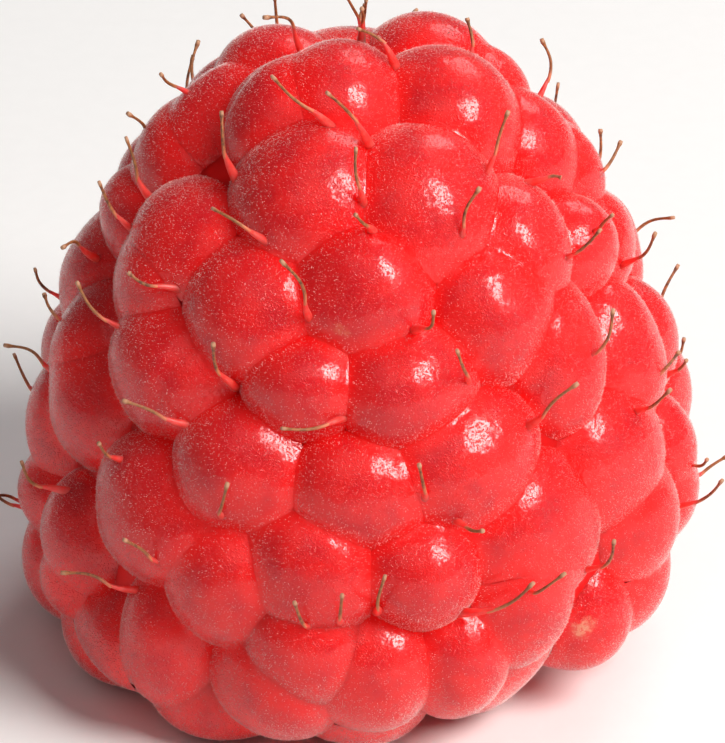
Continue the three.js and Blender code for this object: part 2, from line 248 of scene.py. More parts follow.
crowns = layDrupelets()
count = len(crowns.point)
crownGaps = np.linalg.norm(crowns.point[:, None] - crowns.point, axis=-1)
nearestFour = np.sort(crownGaps, axis=1)[:, 1:5].mean(1)
radii = np.clip(laying["plumpness"] * nearestFour, laying["smallest"], laying["largest"])
for i, row in enumerate(frontDrupelets):
    if len(row) > 2:
        radii[i] = row[2]
areNeighbours = (crownGaps < laying["neighbourReach"] * laying["spacing"]) & (crownGaps > 0)
neighbours = [np.flatnonzero(row) for row in areNeighbours]
centres = crowns.point - laying["depth"] * crowns.out
print("drupelets laid:", count)


def domesOver(places, which):
    # how high the dome of drupelet which stands over the places, out from the crown surface
    out = crowns.out[which]
    offset = places.point - centres[which]
    slope, rise = dot(places.out, out), dot(offset, out)
    flat, tall = 1 / radii[which] ** 2, 1 / laying["depth"] ** 2
    a = (1 - slope**2) * flat + slope**2 * tall
    b = (dot(offset, places.out) - rise * slope) * flat + rise * slope * tall
    c = (dot(offset, offset) - rise**2) * flat + rise**2 * tall - 1
    under = b * b - a * c
    height = (np.sqrt(np.maximum(under, 0)) - b) / a
    return np.where(under < 0, -laying["deepestSeam"], np.maximum(height, -laying["deepestSeam"]))


def placeBeside(i, angle, way):
    sideways = crowns.up[i] * math.cos(angle) + crowns.round[i] * math.sin(angle)
    return placesNear(crowns.point[i] + sideways * way)


def wayToSeam(i, angle):
    # how far from its crown, in one direction, the drupelet's dome goes under another
    near, far = 0, radii[i]
    for _ in range(halvings):
        middle = (near + far) / 2
        place = placeBeside(i, angle, middle)
        own = domesOver(place, i)
        if own > -laying["deepestSeam"] and all(domesOver(place, j) < own for j in neighbours[i]):
            near = middle
        else:
            far = middle
    return near


class Faces:
    # triangles and quads together
    def __init__(self, fans, quads):
        self.fans, self.quads = fans, quads

    def tolist(self):
        return self.fans.tolist() + self.quads.tolist()


def meshPiece(name, points, faces, finish, attributes=None, smooth=True):
    # a piece of the fruit, from points in millimetres
    mesh = bpy.data.meshes.new(name)
    mesh.from_pydata(np.round(points * mm, 9).tolist(), [], faces.tolist())
    for attribute, values in (attributes or {}).items():
        mesh.attributes.new(attribute, "FLOAT", "POINT").data.foreach_set("value", np.float32(values))
    mesh.polygons.foreach_set("use_smooth", [smooth] * len(mesh.polygons))
    mesh.materials.append(finish)
    mesh.update()
    piece = bpy.data.objects.new(name, mesh)
    bpy.context.scene.collection.objects.link(piece)
    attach(piece, "root")
    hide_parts("raspberry")


def shellFaces(sides, ringCount, shells):
    # faces of closed shells: a first point, rings of points and a last point, each ring below the last
    k = np.arange(sides)
    following = (k + 1) % sides
    size = 2 + sides * ringCount
    firstFan = np.stack([k * 0, 1 + k, 1 + following], 1)
    lower = 1 + (ringCount - 1) * sides
    lastFan = np.stack([lower + k, k * 0 + size - 1, lower + following], 1)
    quads = []
    for ring in range(ringCount - 1):
        a, b = 1 + ring * sides, 1 + (ring + 1) * sides
        quads.append(np.stack([a + k, b + k, b + following, a + following], 1))
    fans = np.vstack([firstFan, lastFan])
    fans = (fans + size * np.arange(shells)[:, None, None]).reshape(-1, 3)
    quads = (np.vstack(quads) + size * np.arange(shells)[:, None, None]).reshape(-1, 4)
    return Faces(fans, quads)


# A drupelet: the outer part of an egg, a little lumpy, down to the seams where it meets its
# neighbours, with the seams filled out to soft valleys.
drupelet = {
    "around": 64,
    "rings": 24,
    "crowding": 1.35,  # of the rings towards the seam
    "cornerFineness": 8,  # tried turns to a spoke, to find where three drupelets meet
    "eggDepth": 2.7,
    "sizeSpread": 0.06,  # of the repeated drupelets
    "deepestGap": 1.48,  # no seam lies deeper under the crowns
    "gapStep": 0.35,  # between the places where a gap is looked for
    "gapEnds": (0.2, 0.5),  # which start this far from the tip and end this far over the last row
    "swell": 1.01,
    "swellRounds": 26,
    "frontSwellRounds": 12,  # those at the front keep nearer to their own size
    "widestOpen": 118,  # degrees from the crown where no neighbour stops it
    "edgeSteps": 18,
    "overlap": 0.004,  # how far it runs on under its neighbours
    "filletHeight": 0.035,
    "filletWidth": 0.17,
    "leastWall": 0.6,  # between its inner end and the hollow
    "sunk": 0.68,  # how far the lowest would reach below the table
    "pressed": 1,  # the height up to which that presses a drupelet out of shape
    "lumps": 0.014,
    "lumpWaves": 5,
    "lumpFineness": 2.1,
    "lumpSeed": 5,
    "furrowEnd": 0.3,  # the cosine of the way out where a furrow starts to fade
}

# The eggs of the front drupelets, as seen: how far each is shifted towards the tip and round the
# fruit, and its radii in these two ways, in millimetres.
frontEggs = [
    (-0.3, 0.15, 2.25, 2.2), (-0.59, -0.1, 2.3, 2.4), (0.25, -0.3, 2.4, 2),
    (-0.39, -0.07, 2.3, 2.3), (0.03, 0, 2.6, 2.3), (-0.08, -0.02, 2.26, 2.26), (-0.2, 0, 2.5, 2),
    (-0.04, 0.18, 2.55, 2.6), (-0.17, -0.09, 2.72, 2.72), (0.17, 0, 2.61, 2.01),
    (0.53, 0, 2.72, 2.28), (0.25, 0, 2.72, 1.93), (-0.05, -0.3, 2.4, 2.15),
    (-0.03, 0.22, 2.35, 2.6), (0.18, -0.08, 2.59, 2.72), (-0.17, 0, 1.85, 2.3),
    (-0.16, 0, 1.85, 1.85), (0.2, 0.06, 2.72, 2.72), (0.15, 0.1, 2.5, 2.4), (0.23, 0.16, 2.4, 2.2),
    (0.05, 0, 2.07, 2.15), (-0.09, 0.07, 2.27, 2.52), (0.03, -0.01, 2.06, 2.28), (0.2, 0.05, 3, 2),
    (-0.15, -0.05, 2.5, 2.7), (-0.24, 0, 2.72, 2.3), (-0.12, 0, 2.72, 2.25), (-0.38, 0, 2.2, 2.3),
    (0, -0.05, 2.5, 2.7), (-0.23, 0.09, 2.53, 2.53), (-0.18, 0.03, 2.46, 2.72), (0, 0, 2.6, 2.6),
    (0.1, -0.45, 2.75, 2.55), (-0.25, -0.05, 2.8, 2.7), (0.11, 0, 2.72, 2.22),
    (0.05, 0.2, 2.6, 2.8), (-0.18, 0, 2.72, 2.21), (0.02, -0.23, 2.72, 2.72),
    (-0.06, 0.08, 2.54, 2.45), (0.12, 0.35, 2.72, 2.72), (0.07, 0.1, 2.72, 2.05),
    (-0.07, 0, 2.04, 2.3), (0.35, 0, 2.72, 2.28), (0.15, -0.25, 2.2, 2.2), (0.75, -0.08, 2.8, 2),
    (-0.45, -0.2, 2.1, 2), (0.06, 0.62, 2.72, 2.15), (-0.09, 0.08, 2.72, 2.13),
    (0.02, -0.46, 2.72, 2.54), (0.03, -0.04, 2.72, 2), (-0.29, 0.39, 2.17, 1.85),
    (-0.05, 0.02, 1.85, 2.72), (0.32, 0.28, 2.72, 2.58),
]

# Dents that tell some of the front drupelets apart: which drupelet, kind, clock and way out from
# the crown in degrees, width and depth in millimetres. Clock 0 is towards the tip.
dents = [
    (2, "furrow", 0, 30, 0.3, 0.1),
    (8, "pit", 50, 22, 0.6, 0.1),
    (14, "pit", -80, 25, 0.5, 0.05),
    (18, "pit", 30, 12, 0.55, 0.07),
    (24, "furrow", 10, -24, 0.25, 0.09),
    (25, "furrow", 5, 28, 0.3, 0.08),
    (31, "furrow", 0, 15, 0.25, 0.09),
    (12, "furrow", 10, 32, 0.3, 0.06),
]


class Egg:
    # a drupelet as it would be with no neighbours
    def __init__(self, i, draw):
        self.i = i
        self.waves = draw.normal(size=(drupelet["lumpWaves"], 3)) * drupelet["lumpFineness"]
        self.phases = draw.uniform(0, 2 * math.pi, drupelet["lumpWaves"])
        self.dents = [dent[1:] for dent in dents if dent[0] == i]
        sizes = 1 + drupelet["sizeSpread"] * draw.normal(size=2)
        shiftUp, shiftRound, radiusUp, radiusRound = (0, 0, *(radii[i] * sizes))
        if i < len(frontEggs):
            shiftUp, shiftRound, radiusUp, radiusRound = frontEggs[i]
        shift = shiftUp * crowns.up[i] + shiftRound * crowns.round[i]
        self.centre = crowns.point[i] - drupelet["eggDepth"] * crowns.out[i] + shift
        self.radiusUp, self.radiusRound = radiusUp, radiusRound
        self.aim(crowns.out[i])

    def aim(self, pole):
        self.pole = pole
        self.poleUp = unit(crowns.up[self.i] - dot(crowns.up[self.i], pole) * pole)
        self.poleRound = np.cross(self.poleUp, pole)

    def ways(self, polar, turn):
        # directions so far from its pole, turned so far round it
        sideways = rows(np.cos(turn)) * self.poleUp + rows(np.sin(turn)) * self.poleRound
        return rows(np.cos(polar)) * self.pole + rows(np.sin(polar)) * sideways

    def skinAt(self, way):
        return self.centre + way * self.reach(way)[..., None]

    def reach(self, way):
        # how far its skin is from its centre in each direction
        along = way @ crowns.out[self.i]
        acrossUp = way @ crowns.up[self.i] / self.radiusUp
        acrossRound = way @ crowns.round[self.i] / self.radiusRound
        reach = 1 / np.hypot(np.hypot(acrossUp, acrossRound), along / drupelet["eggDepth"])
        reach *= 1 + drupelet["lumps"] * np.sin(way @ self.waves.T + self.phases).sum(-1)
        for kind, clock, off, width, depth in self.dents:
            clock, off = math.radians(clock), math.radians(off)
            line = math.cos(clock) * crowns.up[self.i] + math.sin(clock) * crowns.round[self.i]
            if kind == "pit":
                middle = math.cos(off) * crowns.out[self.i] + math.sin(off) * line
                miss = np.linalg.norm(way - middle, axis=-1) * radii[self.i]
            else:  # a furrow along the clock's line, off to one side of the crown
                side = np.cross(crowns.out[self.i], line)
                fading = np.maximum(0, drupelet["furrowEnd"] - along)
                miss = np.abs(way @ side - math.sin(off)) * radii[self.i] + fading
            reach -= depth * np.exp(-((miss / width) ** 2))
        return reach

    def clearOf(self, points):
        # how far outside its skin the points are
        offset = points - self.centre
        distance = np.linalg.norm(offset, axis=-1)
        return distance - self.reach(offset / distance[..., None])


def closeGaps():
    # the two eggs nearest to a place swell where the wall would show there
    start, end = drupelet["gapEnds"]
    net = Places(*netOfPlaces(start, lastRowReach - end, drupelet["gapStep"]))
    low = net.point - drupelet["deepestGap"] * net.out
    nearest = np.argsort(np.linalg.norm(low[:, None] - crowns.point, axis=-1), axis=1)[:, :7]
    for swellRound in range(drupelet["swellRounds"]):
        clear = np.full(nearest.shape, 9.0)
        for egg in eggs:
            place, rank = np.nonzero(nearest == egg.i)
            clear[place, rank] = egg.clearOf(low[place])
        bare = np.flatnonzero(clear.min(1) > 0)
        twoNearest = clear[bare].argsort(1)[:, :2]
        for i in set(np.take_along_axis(nearest[bare], twoNearest, 1).ravel()):
            if swellRound < drupelet["frontSwellRounds"] or i >= len(frontEggs):
                eggs[i].radiusUp *= drupelet["swell"]
                eggs[i].radiusRound *= drupelet["swell"]
    print("places where the wall shows:", len(bare), "of", len(low))


def aimAtOpenSkin():
    # each egg's pole goes to the middle of the skin that its neighbours leave open
    outerSide, allRound = np.arange(3, 110, 6), np.arange(0, 360, 12)
    polar, turn = (np.radians(part).ravel() for part in np.meshgrid(outerSide, allRound))
    for egg in eggs:
        way = egg.ways(polar, turn)
        clear = np.min([eggs[j].clearOf(egg.skinAt(way)) for j in neighbours[egg.i]], axis=0)
        weight = np.sin(polar) * (clear > 0)
        egg.aim(unit((way * weight[:, None]).sum(0)))


def edgeOf(egg, others, turn):
    # how far from the pole, in each turn, another drupelet's skin first takes over, and which one's
    def clearAt(polar):
        way = egg.ways(polar, turn)
        points = egg.skinAt(way)
        clear = np.array([other.clearOf(points) for other in others])
        return clear.min(0) > -drupelet["overlap"], clear.argmin(0)

    widest = math.radians(drupelet["widestOpen"])
    near, far = np.zeros(len(turn)), np.full(len(turn), widest)
    clearSoFar = np.full(len(turn), True)
    for polar in np.linspace(0, widest, drupelet["edgeSteps"] + 1)[1:]:
        within, _ = clearAt(np.full(len(turn), polar))
        near[clearSoFar & within] = polar
        far[clearSoFar & ~within] = polar
        clearSoFar &= within
    for _ in range(halvings):
        middle = (near + far) / 2
        within, taker = clearAt(middle)
        near, far = np.where(within, middle, near), np.where(within, far, middle)
    return near, taker


def outsideHollow(points):
    # skin that would come out in the hollow stays within the wall
    rise = np.clip(points[:, 2] / fruit["hollowHeight"], 0, 1)
    least = hollowRadiusAt(rise) + drupelet["leastWall"]
    radius = np.hypot(points[:, 0], points[:, 1])
    push = np.where(rise < 1, np.maximum(1, least / radius), 1)
    return points * rows(push, push, 1 + 0 * push)


def standing(points):
    # the lowest drupelets are pressed on the table, rounded rather than cut
    sunk, pressed = drupelet["sunk"], drupelet["pressed"]
    height = points[:, 2]
    share = np.clip((height + sunk) / (pressed + sunk), 0, 1)
    points[:, 2] = np.where(height < pressed, sunk * share**2 + (pressed - sunk) * share, height)
    return points


def patchOf(egg):
    # points of a drupelet's skin, and how far each is from the nearest seam
    i, around, fineness, ringCount = egg.i, drupelet["around"], drupelet["cornerFineness"], drupelet["rings"]
    others = [eggs[j] for j in neighbours[i]]
    tries = around * fineness
    fineTurn = np.arange(tries) * 2 * math.pi / tries
    fineEdge, taker = edgeOf(egg, others, fineTurn)
    chosen = np.arange(around) * fineness
    # a spoke goes to each corner where three drupelets meet
    for corner in np.flatnonzero(taker != np.roll(taker, -1)):
        chosen[int(round(corner / fineness)) % around] = corner if corner < tries - fineness // 2 else 0
    turn, edge = fineTurn[chosen], fineEdge[chosen]
    steps = 1 - (1 - np.arange(1, ringCount + 1) / ringCount) ** drupelet["crowding"]
    polar = np.concatenate([[0], (steps[:, None] * edge).ravel()])
    turns = np.concatenate([[0], np.tile(turn, ringCount)])
    way = egg.ways(polar, turns)
    points = egg.skinAt(way)
    seams = np.maximum(0, [other.clearOf(points) for other in others])
    nearest = np.argmin(seams, axis=0)
    fromSeam = seams.min(0)
    closeness = np.maximum(0, 1 - fromSeam / drupelet["filletWidth"]) ** 2
    lifted = unit(crowns.out[i] + crowns.out[neighbours[i]][nearest])
    points += lifted * (drupelet["filletHeight"] * closeness)[:, None]
    return standing(outsideHollow(points)), fromSeam


def patchFaces(patches):
    # a fan round each pole, and quads between the rings
    around, rings = drupelet["around"], drupelet["rings"]
    k = np.arange(around)
    following = (k + 1) % around
    fan = np.stack([k * 0, 1 + following, 1 + k], 1)
    starts = 1 + around * np.arange(rings - 1)[:, None]
    a, b = starts + k, starts + following
    quads = np.stack([a, b, b + around, a + around], -1).reshape(-1, 4)
    shift = (1 + around * rings) * np.arange(patches)[:, None, None]
    return Faces((fan + shift).reshape(-1, 3), (quads + shift).reshape(-1, 4))


draw = np.random.default_rng(drupelet["lumpSeed"])
eggs = [Egg(i, draw) for i in range(count)]
closeGaps()
aimAtOpenSkin()
patches = [patchOf(egg) for egg in eggs]
patchTones = draw.uniform(0, 1, count)
print("drupelets shaped")


# The wall that carries the drupelets: seen at the bottom of the seams, under the rim, and from
# below in the hollow, where each drupelet's inner end stands out as a low bump.
wallShape = {
    "around": 144,
    "outerRings": 46,
    "outerEnds": (0.5, 0.6),  # they start this far from the tip and end this far from the rim
    "underRings": 8,
    "underBulge": 0.5,
    "lowest": 0.15,
    "hollowRings": 56,
    "lip": 0.7,  # the height of the hollow's foot
    "bump": 0.42,
    "bumpSink": 0.12,
    "bumpSize": 0.66,  # of the distance between bumps
    "bumpRows": (0.04, 0.98),  # shares of the way up the hollow, for the lowest and the highest
    "bumpAim": 5,  # a height on the axis that the bumps stand towards
    "bumpLevel": 0.3,  # the share of that aim's rise they keep
    "roof": 0.1,
}


def hollowPoints(azimuth, share):
    # points of the hollow, from its foot at share 0 to its top at share 1
    rise = np.sin(np.clip(share, 0, 1) * math.pi / 2)
    radius, turn = hollowRadiusAt(rise), np.radians(azimuth)
    return rows(np.sin(turn) * radius, -np.cos(turn) * radius, fruit["hollowHeight"] * rise)


def hollowRings(azimuth):
    # rings up the hollow, with a bump for each drupelet's inner end; the foot lies higher where the
    # rim does
    low = (1 - fruit["mouthHeight"] / fruit["skewTop"]) ** 2
    lift = fruit["rimLift"] * low * towards(np.radians(azimuth), math.radians(fruit["rimLiftAzimuth"]))
    foot = np.arcsin((wallShape["lip"] + lift) / fruit["hollowHeight"]) / (math.pi / 2)
    lowest, highest = wallShape["bumpRows"]
    bumpShare = lowest + (highest - lowest) * (1 - crowns.reach / lastRowReach)
    bumps = hollowPoints(crowns.azimuth, bumpShare)
    bumpGaps = np.linalg.norm(bumps[:, None] - bumps, axis=-1)
    bumpRadius = wallShape["bumpSize"] * np.sort(bumpGaps, axis=1)[:, 1:5].mean(1)
    rings = []
    for share in np.linspace(0, 1, wallShape["hollowRings"] + 1)[:-1]:
        points = hollowPoints(azimuth, foot + (1 - foot) * share)
        miss = np.linalg.norm(points[:, None] - bumps, axis=-1) / bumpRadius
        bump = np.sqrt(np.maximum(0, 1 - miss**2)).max(1) * wallShape["bump"]
        inward = unit(np.array([0, 0, wallShape["bumpAim"]]) - points)
        inward[:, 2] *= wallShape["bumpLevel"]
        rings.append(points + inward * (bump - wallShape["bumpSink"])[:, None])
    return rings


def underRings(outerEdge, innerEdge):
    # rings from the outside of the wall to the hollow's foot
    rings = []
    for share in np.linspace(0, 1, wallShape["underRings"] + 2)[1:-1]:
        bulge = np.array([0, 0, -wallShape["underBulge"]]) * math.sin(share * math.pi)
        ring = outerEdge * (1 - share) + innerEdge * share + bulge
        ring[:, 2] = np.maximum(ring[:, 2], wallShape["lowest"])
        rings.append(ring)
    return rings


def wallMesh():
    azimuth = np.arange(wallShape["around"]) * 360 / wallShape["around"]
    start, end = wallShape["outerEnds"]
    outer = []
    for reach in np.linspace(start, rimReach - end, wallShape["outerRings"]):
        place = Places(azimuth, np.full(len(azimuth), reach))
        outer.append(place.point - laying["deepestSeam"] * place.out)
    hollow = hollowRings(azimuth)
    under = underRings(outer[-1], hollow[0])
    rings = outer + under + hollow
    first = Places(0, 0).point - np.array([0, 0, laying["deepestSeam"]])
    last = np.array([0, 0, fruit["hollowHeight"] + wallShape["roof"]])
    points = np.vstack([first[None], *rings, last[None]])
    outside = 1 + wallShape["around"] * (len(outer) + len(under) // 2)
    hollowness = (np.arange(len(points)) >= outside).astype(float)
    return points, shellFaces(wallShape["around"], len(rings), 1), hollowness


wallPoints, wallFaces, wallHollowness = wallMesh()
print("wall shaped")


# Styles of the front and tip: azimuth, height, lean, rise, length. The lean turns from straight up
# the fruit towards larger azimuths, and the rise is the angle off its surface.
frontStyles = [
    (-41, 23, -30, 25, 0.8), (-25, 23, 140, 60, 1.4), (66, 23, -115, 45, 1.5),
    (49, 22.8, -45, 15, 1.6), (-88, 22.7, 120, 45, 2), (89, 21.9, 40, 25, 1.3),
    (-13, 21.7, -75, 35, 2.4), (4, 21.4, -65, 45, 2.3), (-93, 20.5, 80, 45, 1.8),
    (-46, 19.9, -15, 25, 1.9), (44, 19.9, 30, 25, 2), (1, 19.8, -10, 35, 1.9),
    (60, 19.2, 135, 15, 0.6), (4, 19.1, -60, 35, 1), (-25, 18.5, -70, 15, 2),
    (-98, 18.5, 55, 25, 2), (27, 18.4, 20, 25, 1.9), (-74, 17.8, 5, 35, 2.2),
    (86, 17.5, 80, 25, 1.7), (54, 16.8, 25, 60, 1.6), (-70, 16.8, -10, 45, 1.9),
    (71, 16.7, -55, 35, 2.1), (-12, 16.5, -20, 35, 2.5), (-46, 16.4, -90, 35, 1.4),
    (12, 16.2, 25, 60, 1.5), (80, 14.9, -40, 35, 2.2), (23, 14.3, -30, 25, 1.9),
    (-58, 14.2, -40, 35, 2), (-28, 14.1, -5, 25, 1.7), (-3, 13.6, -95, 15, 2.1),
    (50, 13.6, 20, 25, 2.1), (-79, 12.5, -50, 25, 1.3), (34, 12.4, 40, 25, 2.1),
    (-36, 12.4, -70, 25, 1.9), (69, 11.4, 50, 25, 1.3), (62, 11, -30, 45, 2.1),
    (12, 10.7, -15, 25, 2.1), (-79, 10.7, -85, 35, 2), (80, 10.6, -30, 25, 1.1),
    (-49, 10.3, 0, 35, 1.1), (17, 10, 85, 60, 1), (-26, 9.7, 25, 25, 2.4),
    (-65, 7.7, -70, 15, 1.7), (78, 7.4, -45, 35, 1), (-36, 7.4, -20, 35, 1.9),
    (29, 6.9, 15, 45, 2.2), (3, 6.9, 5, 15, 2.1), (42, 6.7, 5, 25, 1.9),
    (18, 6.5, 45, 25, 2.8), (-8, 6.2, -15, 15, 1.8), (73, 6.1, -20, 35, 2.3),
    (-43, 5.9, -70, 25, 2.1),
]

style = {
    "seed": 8,
    "lowest": 1.5,  # no style under a crown lower than this
    "leans": (-70, 70),  # of the repeated ones, as their rises and lengths
    "rises": (20, 50),
    "lengths": (1.4, 2.3),
    "sides": 10,
    "threadStations": 13,
    "threadRadius": 0.054,
    "tipRadius": 0.09,
    "rootStations": 11,
    "rootRadius": 0.125,
    "rootDepth": 1.2,
    "threadDepth": 0.35,
    "threadAhead": 0.2,
    "bend": 0.16,  # sideways, as a share of the length
    "bowShape": 1.2,
    "bendSeed": 3,
}

# a root's radius along it, as shares of its own: broad in the seam, narrowing to the dry thread
rootShape = ((0, 0.4, 0.8, 1), (1.5, 1.05, 0.55, 0.34))
threadShape = (0, 0.12, 0.8, 0.9, 0.95, 1)  # where a thread's radius is given along it


def repeatedDraws(seed):
    # even draws from 0 to 1, the same ones as the solid's
    multiplier, modulus = 16807, 2147483647
    state = seed
    while True:
        state = state * multiplier % modulus
        yield state / modulus


def layStyles():
    # the front ones where they are seen, and one for each further drupelet above the rim, out of
    # its seam on the side towards the tip
    draws = repeatedDraws(style["seed"])

    def drawn(ends):
        return ends[0] + (ends[1] - ends[0]) * next(draws)

    laid = [
        {"place": Places(azimuth, reachAtHeight(height)), "lean": lean, "rise": rise, "length": length}
        for azimuth, height, lean, rise, length in frontStyles
    ]
    for i in range(len(frontDrupelets), count):
        clock = math.radians(drawn(style["leans"]))
        lean, rise, length = drawn(style["leans"]), drawn(style["rises"]), drawn(style["lengths"])
        if crowns.point[i, 2] >= style["lowest"]:
            place = placeBeside(i, clock, wayToSeam(i, clock))
            laid.append({"place": place, "lean": lean, "rise": rise, "length": length})
    return laid


def tubes(lines, radiusLists, sides):
    # closed round tubes along the lines, all with as many stations
    points = []
    for line, radiiAlong in zip(lines, radiusLists):
        forward = unit(np.gradient(line, axis=0))
        side = unit(np.cross(forward[0], [0.31, 0.17, 0.94]))
        points.append(line[:1])
        for middle, ahead, radius in zip(line, forward, radiiAlong):
            side = unit(side - ahead * (side @ ahead))
            across = np.cross(ahead, side)
            turn = np.arange(sides)[:, None] * 2 * math.pi / sides
            points.append(middle + radius * (np.cos(turn) * across + np.sin(turn) * side))
        points.append(line[-1:])
    return np.vstack(points), shellFaces(sides, len(lines[0]), len(lines))


def bowed(start, tip, bow, share):
    # points from start to tip that stand off to the side by the bow halfway
    return start + (tip - start) * share + bow * np.sin(share * math.pi) ** style["bowShape"]


def styleLines():
    # the middle lines and the radii along them, of the fleshy roots and of the dry threads
    bends = np.random.default_rng(style["bendSeed"])
    roots, rootRadii, threads, threadRadii = [], [], [], []
    for laid in layStyles():
        place, length = laid["place"], laid["length"]
        lean, rise = math.radians(laid["lean"]), math.radians(laid["rise"])
        flat = math.cos(lean) * place.up + math.sin(lean) * place.round
        along = math.cos(rise) * flat + math.sin(rise) * place.out
        side = unit(np.cross(along, place.out))
        bow = bends.uniform(-1, 1) * style["bend"] * length * side
        bow += bends.uniform(-0.6, 1) * style["bend"] * length * np.cross(side, along)
        start = place.point - style["threadDepth"] * place.out + style["threadAhead"] * along
        tip = place.point + length * along
        knee = 0.2 + 0.1 * bends.uniform()  # share of the way where the fleshy root ends
        deep = place.point - style["rootDepth"] * place.out - 0.1 * along
        early = start + (tip - start) * knee * 0.3 - 0.1 * place.out
        rootEnd = bowed(start, tip, bow, knee + 0.08)
        share = np.linspace(0, 1, style["rootStations"])[:, None]
        roots.append((1 - share) ** 2 * deep + 2 * share * (1 - share) * early + share**2 * rootEnd)
        swell = style["rootRadius"] * bends.uniform(0.85, 1.15)
        rootRadii.append(swell * np.interp(share[:, 0], *rootShape))
        dryShare = np.linspace(knee - 0.05, 1, style["threadStations"])[:, None]
        threads.append(bowed(start, tip, bow, dryShare))
        thin, knob = style["threadRadius"], style["tipRadius"] * bends.uniform(0.8, 1.15)
        girths = [0.9 * thin, 1.1 * thin, 0.85 * thin, 0.8 * knob, knob, 0.75 * knob]
        threadRadii.append(np.interp(np.linspace(0, 1, style["threadStations"]), threadShape, girths))
    return roots, rootRadii, threads, threadRadii


roots, rootRadii, threads, threadRadii = styleLines()
print("styles laid:", len(threads))


class Value:
    # a socket of a finish's node tree, in Python expressions
    def __init__(self, finish, socket):
        self.finish, self.socket = finish, socket

    def joined(self, operation, *inputs):
        return self.finish.node("ShaderNodeMath", {"operation": operation}, dict(enumerate(inputs)))

    def __add__(self, other):
        return self.joined("ADD", self, other)

    def __radd__(self, other):
        return self.joined("ADD", other, self)

    def __mul__(self, other):
        return self.joined("MULTIPLY", self, other)

    def __rmul__(self, other):
        return self.joined("MULTIPLY", other, self)


class Finish:
    # a material with one Principled shader
    def __init__(self, name):
        self.material = bpy.data.materials.new(name)
        self.material.use_nodes = True
        self.tree = self.material.node_tree
        self.tree.nodes.clear()

    def node(self, kind, settings=None, inputs=None, output=0):
        # any node: its kind, its settings, and the values or links of its inputs
        made = self.tree.nodes.new(kind)
        for setting, value in (settings or {}).items():
            setattr(made, setting, value)
        for socket, value in (inputs or {}).items():
            if isinstance(value, Value):
                self.tree.links.new(value.socket, made.inputs[socket])
            else:
                made.inputs[socket].default_value = value
        return Value(self, made.outputs[output]) if made.outputs else None

    def attribute(self, name):
        return self.node("ShaderNodeAttribute", {"attribute_name": name}, output="Fac")

    def noise(self, size, detail=2):
        # grains about so many millimetres across
        where = self.node("ShaderNodeTexCoord", output="Object")
        sizes = {"Vector": where, "Scale": 1 / (size * mm), "Detail": detail, "Roughness": 0.5}
        return self.node("ShaderNodeTexNoise", {"noise_dimensions": "3D"}, sizes)

    def ramp(self, value, low, high):
        # 0 below low, 1 above high, smooth between
        settings = {"interpolation_type": "SMOOTHSTEP"}
        return self.node("ShaderNodeMapRange", settings, {0: value, 1: low, 2: high, 3: 0, 4: 1})

    def spot(self, middle, radius):
        # 1 near a place on the fruit, down to 0 a ragged way round it, in millimetres
        where = self.node("ShaderNodeTexCoord", output="Object")
        place = {0: where, 1: [part * mm for part in middle]}
        away = self.node("ShaderNodeVectorMath", {"operation": "DISTANCE"}, place, output="Value")
        ragged = 1.4 * self.noise(0.16, detail=4)
        return self.ramp(away * (1 / (radius * mm)) + ragged, 1.8, 1.0)

    def blend(self, mask, color, other):
        # the color where the mask is 0, the other where it is 1
        inputs = {0: mask}
        for socket, value in ((6, color), (7, other)):
            inputs[socket] = value if isinstance(value, Value) else (*value, 1)
        return self.node("ShaderNodeMix", {"data_type": "RGBA"}, inputs, output=2)

    def bump(self, height, strength, distance):
        inputs = {"Height": height, "Strength": strength, "Distance": distance * mm}
        return self.node("ShaderNodeBump", None, inputs)

    def shaded(self, **inputs):
        # the shader itself, with its sockets given by name
        named = {name.replace("_", " "): value for name, value in inputs.items()}
        shader = self.node("ShaderNodeBsdfPrincipled", {"subsurface_method": "RANDOM_WALK"}, named)
        self.node("ShaderNodeOutputMaterial", None, {"Surface": shader})
        return self.material


skin = {
    # painted glow: a brighter, more saturated red for the seams, standing in for light glowing through the
    # flesh there
    "paintedSeamGlow": (0.9, 0.006, 0.006),
    "crownRed": (0.8, 0.012, 0.012),
    "deepRed": (0.62, 0.006, 0.012),
    "haze": (0.85, 0.2, 0.2),
    "tanMark": (0.75, 0.17, 0.09),
    "paleScar": (0.74, 0.36, 0.22),
    "roughness": 0.16,
    "scatter": 1.5,  # how far light wanders in the flesh, in millimetres
    "sheen": 0.85,
}

# Blemishes: where, how wide, which color and how strong.
marks = [
    ((-0.72, -8.36, 16.12), 0.26, "tanMark", 0.6),
    ((-0.48, -8.42, 15.96), 0.22, "tanMark", 0.5),
    ((7.36, -7.5, 4), 0.4, "paleScar", 0.75),
    ((7.64, -7.44, 4.26), 0.3, "paleScar", 0.65),
]


